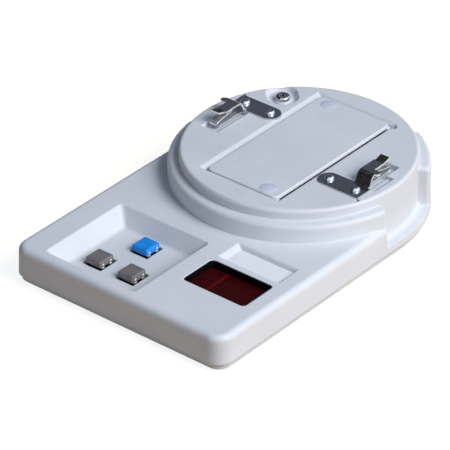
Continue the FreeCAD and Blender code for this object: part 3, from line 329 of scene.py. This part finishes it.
dress(moulded("milky_epoxy", "#8C3A36", "#9C4842", 3, 0.30, 0.05, (0.22, 0.34), 0.1, "#B06058",
              IOR=1.55), "display_segments")
dress(moulded("moulded_rubber", "#1B1B1C", "#262627", 7, 0.45, 0.30, (0.70, 0.88), 0.3, "#3A3A3B",
              IOR=1.52), "rubber_feet")
dress(rolled_strip_steel(), "contact_plate_left", "contact_plate_right")
dress(bare_metal("bright_spring_steel", "#DFE2E7", "#ECEEF2", 2.0, (0.40, 0.52), 0.05, 0.35),
      "contact_spring_left", "contact_spring_right")
# The blue in the nickel's colour is painted: it stands in for the bluish window light that the rivet heads
# mirror.
dress(bare_metal("nickel_plate", "#C3D0E6", "#D2DDF0", 0.8, (0.17, 0.25), 0.06, 0.3), "contact_rivets")
dress(bare_metal("bright_zinc_plate", "#B2B5BA", "#C8CACE", 0.9, (0.04, 0.09), 0.04, 0.1),
      "drum_screw", "case_screws", "board_screws")
dress(bare_metal("drawn_aluminium_can", "#B4B6BA", "#CBCDD0", 1.5, (0.24, 0.40), 0.08, 0.3),
      "crystal", "capacitors")
dress(cast_polyurethane(), "hatch_bumpers")
dress(tinted_acrylic(), "display_filter")
dress(polyester_film(), "label_plate")
dress(varnished_laminate(), "main_board")
dress(lacquered_jacket(), "battery")
dress(extruded_sleeve("red_pvc_sleeve", "#A31416", "#B81C1D"), "battery_lead_red")
dress(extruded_sleeve("black_pvc_sleeve", "#161617", "#222223"), "battery_lead_black")
dress(extruded_sleeve("white_pvc_sleeve", "#D6D5D0", "#E3E2DD"), "contact_lead_left", "contact_lead_right")


# Table, light and camera

def on_stage(name, points, faces, material):
    """A plain mesh that belongs to the room, not to the part."""
    mesh = bpy.data.meshes.new(name)
    mesh.from_pydata(points, [], faces)
    mesh.materials.append(material)
    thing = bpy.data.objects.new(name, mesh)
    scene.collection.objects.link(thing)
    return thing


def seen_rays(tree):
    """1 for what the camera, metal or glass sees, 0 for light that falls on a surface."""
    path = add(tree, "LightPath", {})
    seen = add(tree, "Math", {0: path["Is Camera Ray"], 1: path["Is Glossy Ray"]}, operation="MAXIMUM")
    return add(tree, "Math", {0: seen[0], 1: path["Is Transmission Ray"]}, operation="MAXIMUM")[0]


def table_top():
    """Wide pale table; it shows as clean white with the part's soft shadow on it."""
    reach, seen_white = 3.0, 0.91
    material, tree, surface, _ = finish("pale_table", Base_Color=srgb("#A98B60"), Roughness=0.8,
                                        Emission_Color=srgb("#F5FAFF"))
    glow = add(tree, "Math", {0: seen_rays(tree), 1: seen_white}, operation="MULTIPLY")
    tree.links.new(glow[0], surface.inputs["Emission Strength"])
    on_stage("table_top", [(-reach, -reach, 0), (reach, -reach, 0), (reach, reach, 0), (-reach, reach, 0)],
             [(0, 1, 2, 3)], material)


def screen(name, start, end, height, *shades):
    """Curved cloth screen out of the picture, for bright metal to mirror; shades run from table to top."""
    radius, clear, steps = 0.9, 0.02, 24
    material, tree, surface, place = finish(name, Roughness=0.95)
    spot = add(tree, "SeparateXYZ", {"Vector": place})
    share = add(tree, "Math", {0: spot["Z"], 1: height}, operation="DIVIDE")
    cloth = add(tree, "ValToRGB", {"Fac": share[0]}, steps=shades)
    tree.links.new(cloth["Color"], surface.inputs["Base Color"])
    turns = [math.radians(start + (end - start) * step / steps) for step in range(steps + 1)]
    points = [(radius * math.cos(turn), radius * math.sin(turn), z)
              for turn in turns for z in (clear, height)]
    faces = [(2 * step, 2 * step + 2, 2 * step + 3, 2 * step + 1) for step in range(steps)]
    cloth_screen = on_stage(name, points, faces, material)
    cloth_screen.visible_camera = cloth_screen.visible_shadow = False


def room_light():
    """Dim even room, cool from above; seen directly, in metal or through glass it is white."""
    world = bpy.data.worlds.new("room")
    scene.world = world
    world.use_nodes = True
    tree = world.node_tree
    dim = add(tree, "Background", {"Color": srgb("#CADFFE"), "Strength": 0.485})
    white = add(tree, "Background", {"Color": (1, 1, 1, 1), "Strength": 1.0})
    mix = add(tree, "MixShader", {"Fac": seen_rays(tree), 1: dim[0], 2: white[0]})
    tree.links.new(mix[0], tree.nodes["World Output"].inputs["Surface"])


def window_light():
    """Broad window light from the right, a little behind the part."""
    aim = Vector((0, 0, 0.015))
    toward = Vector((0.74, 0.09, 0.665)).normalized()
    distance, width = 2.0, 1.3
    level = 0.895
    lamp = bpy.data.lights.new("window", "AREA")
    lamp.shape = "DISK"
    lamp.size = width
    lamp.color = srgb("#FCFCFF")[:3]
    lamp.energy = level * (math.pi * distance) ** 2
    thing = bpy.data.objects.new("window", lamp)
    thing.location = aim + toward * distance
    thing.rotation_euler = (-toward).to_track_quat("-Z", "Y").to_euler()
    scene.collection.objects.link(thing)


def camera():
    """Long lens from the front right, the part seen from above."""
    target = Vector((4.236, -20.537, 17.2)) * MM
    eye = Vector((744.36, -907.8, 751.57)) * MM
    tilt = math.radians(-0.278)
    data = bpy.data.cameras.new("camera")
    data.lens, data.sensor_width = 300.08, 36.0
    data.clip_start, data.clip_end = 0.05, 20
    thing = bpy.data.objects.new("camera", data)
    thing.location = eye
    aim = (target - eye).to_track_quat("-Z", "Y").to_matrix()
    roll = Matrix.Rotation(tilt, 3, "Z")
    thing.rotation_euler = (aim @ roll).to_euler()
    scene.collection.objects.link(thing)
    scene.camera = thing


table_top()
screen("grey_screen", 100, 190, 2.2, (0.0, "#0C0C0D"), (0.14, "#1C1D20"), (0.23, "#737A83"),
       (0.30, "#656B74"), (0.40, "#0C0C0D"))
screen("black_screen", 190, 262, 2.2, (0.0, "#0C0C0D"), (1.0, "#101011"))
room_light()
window_light()
camera()
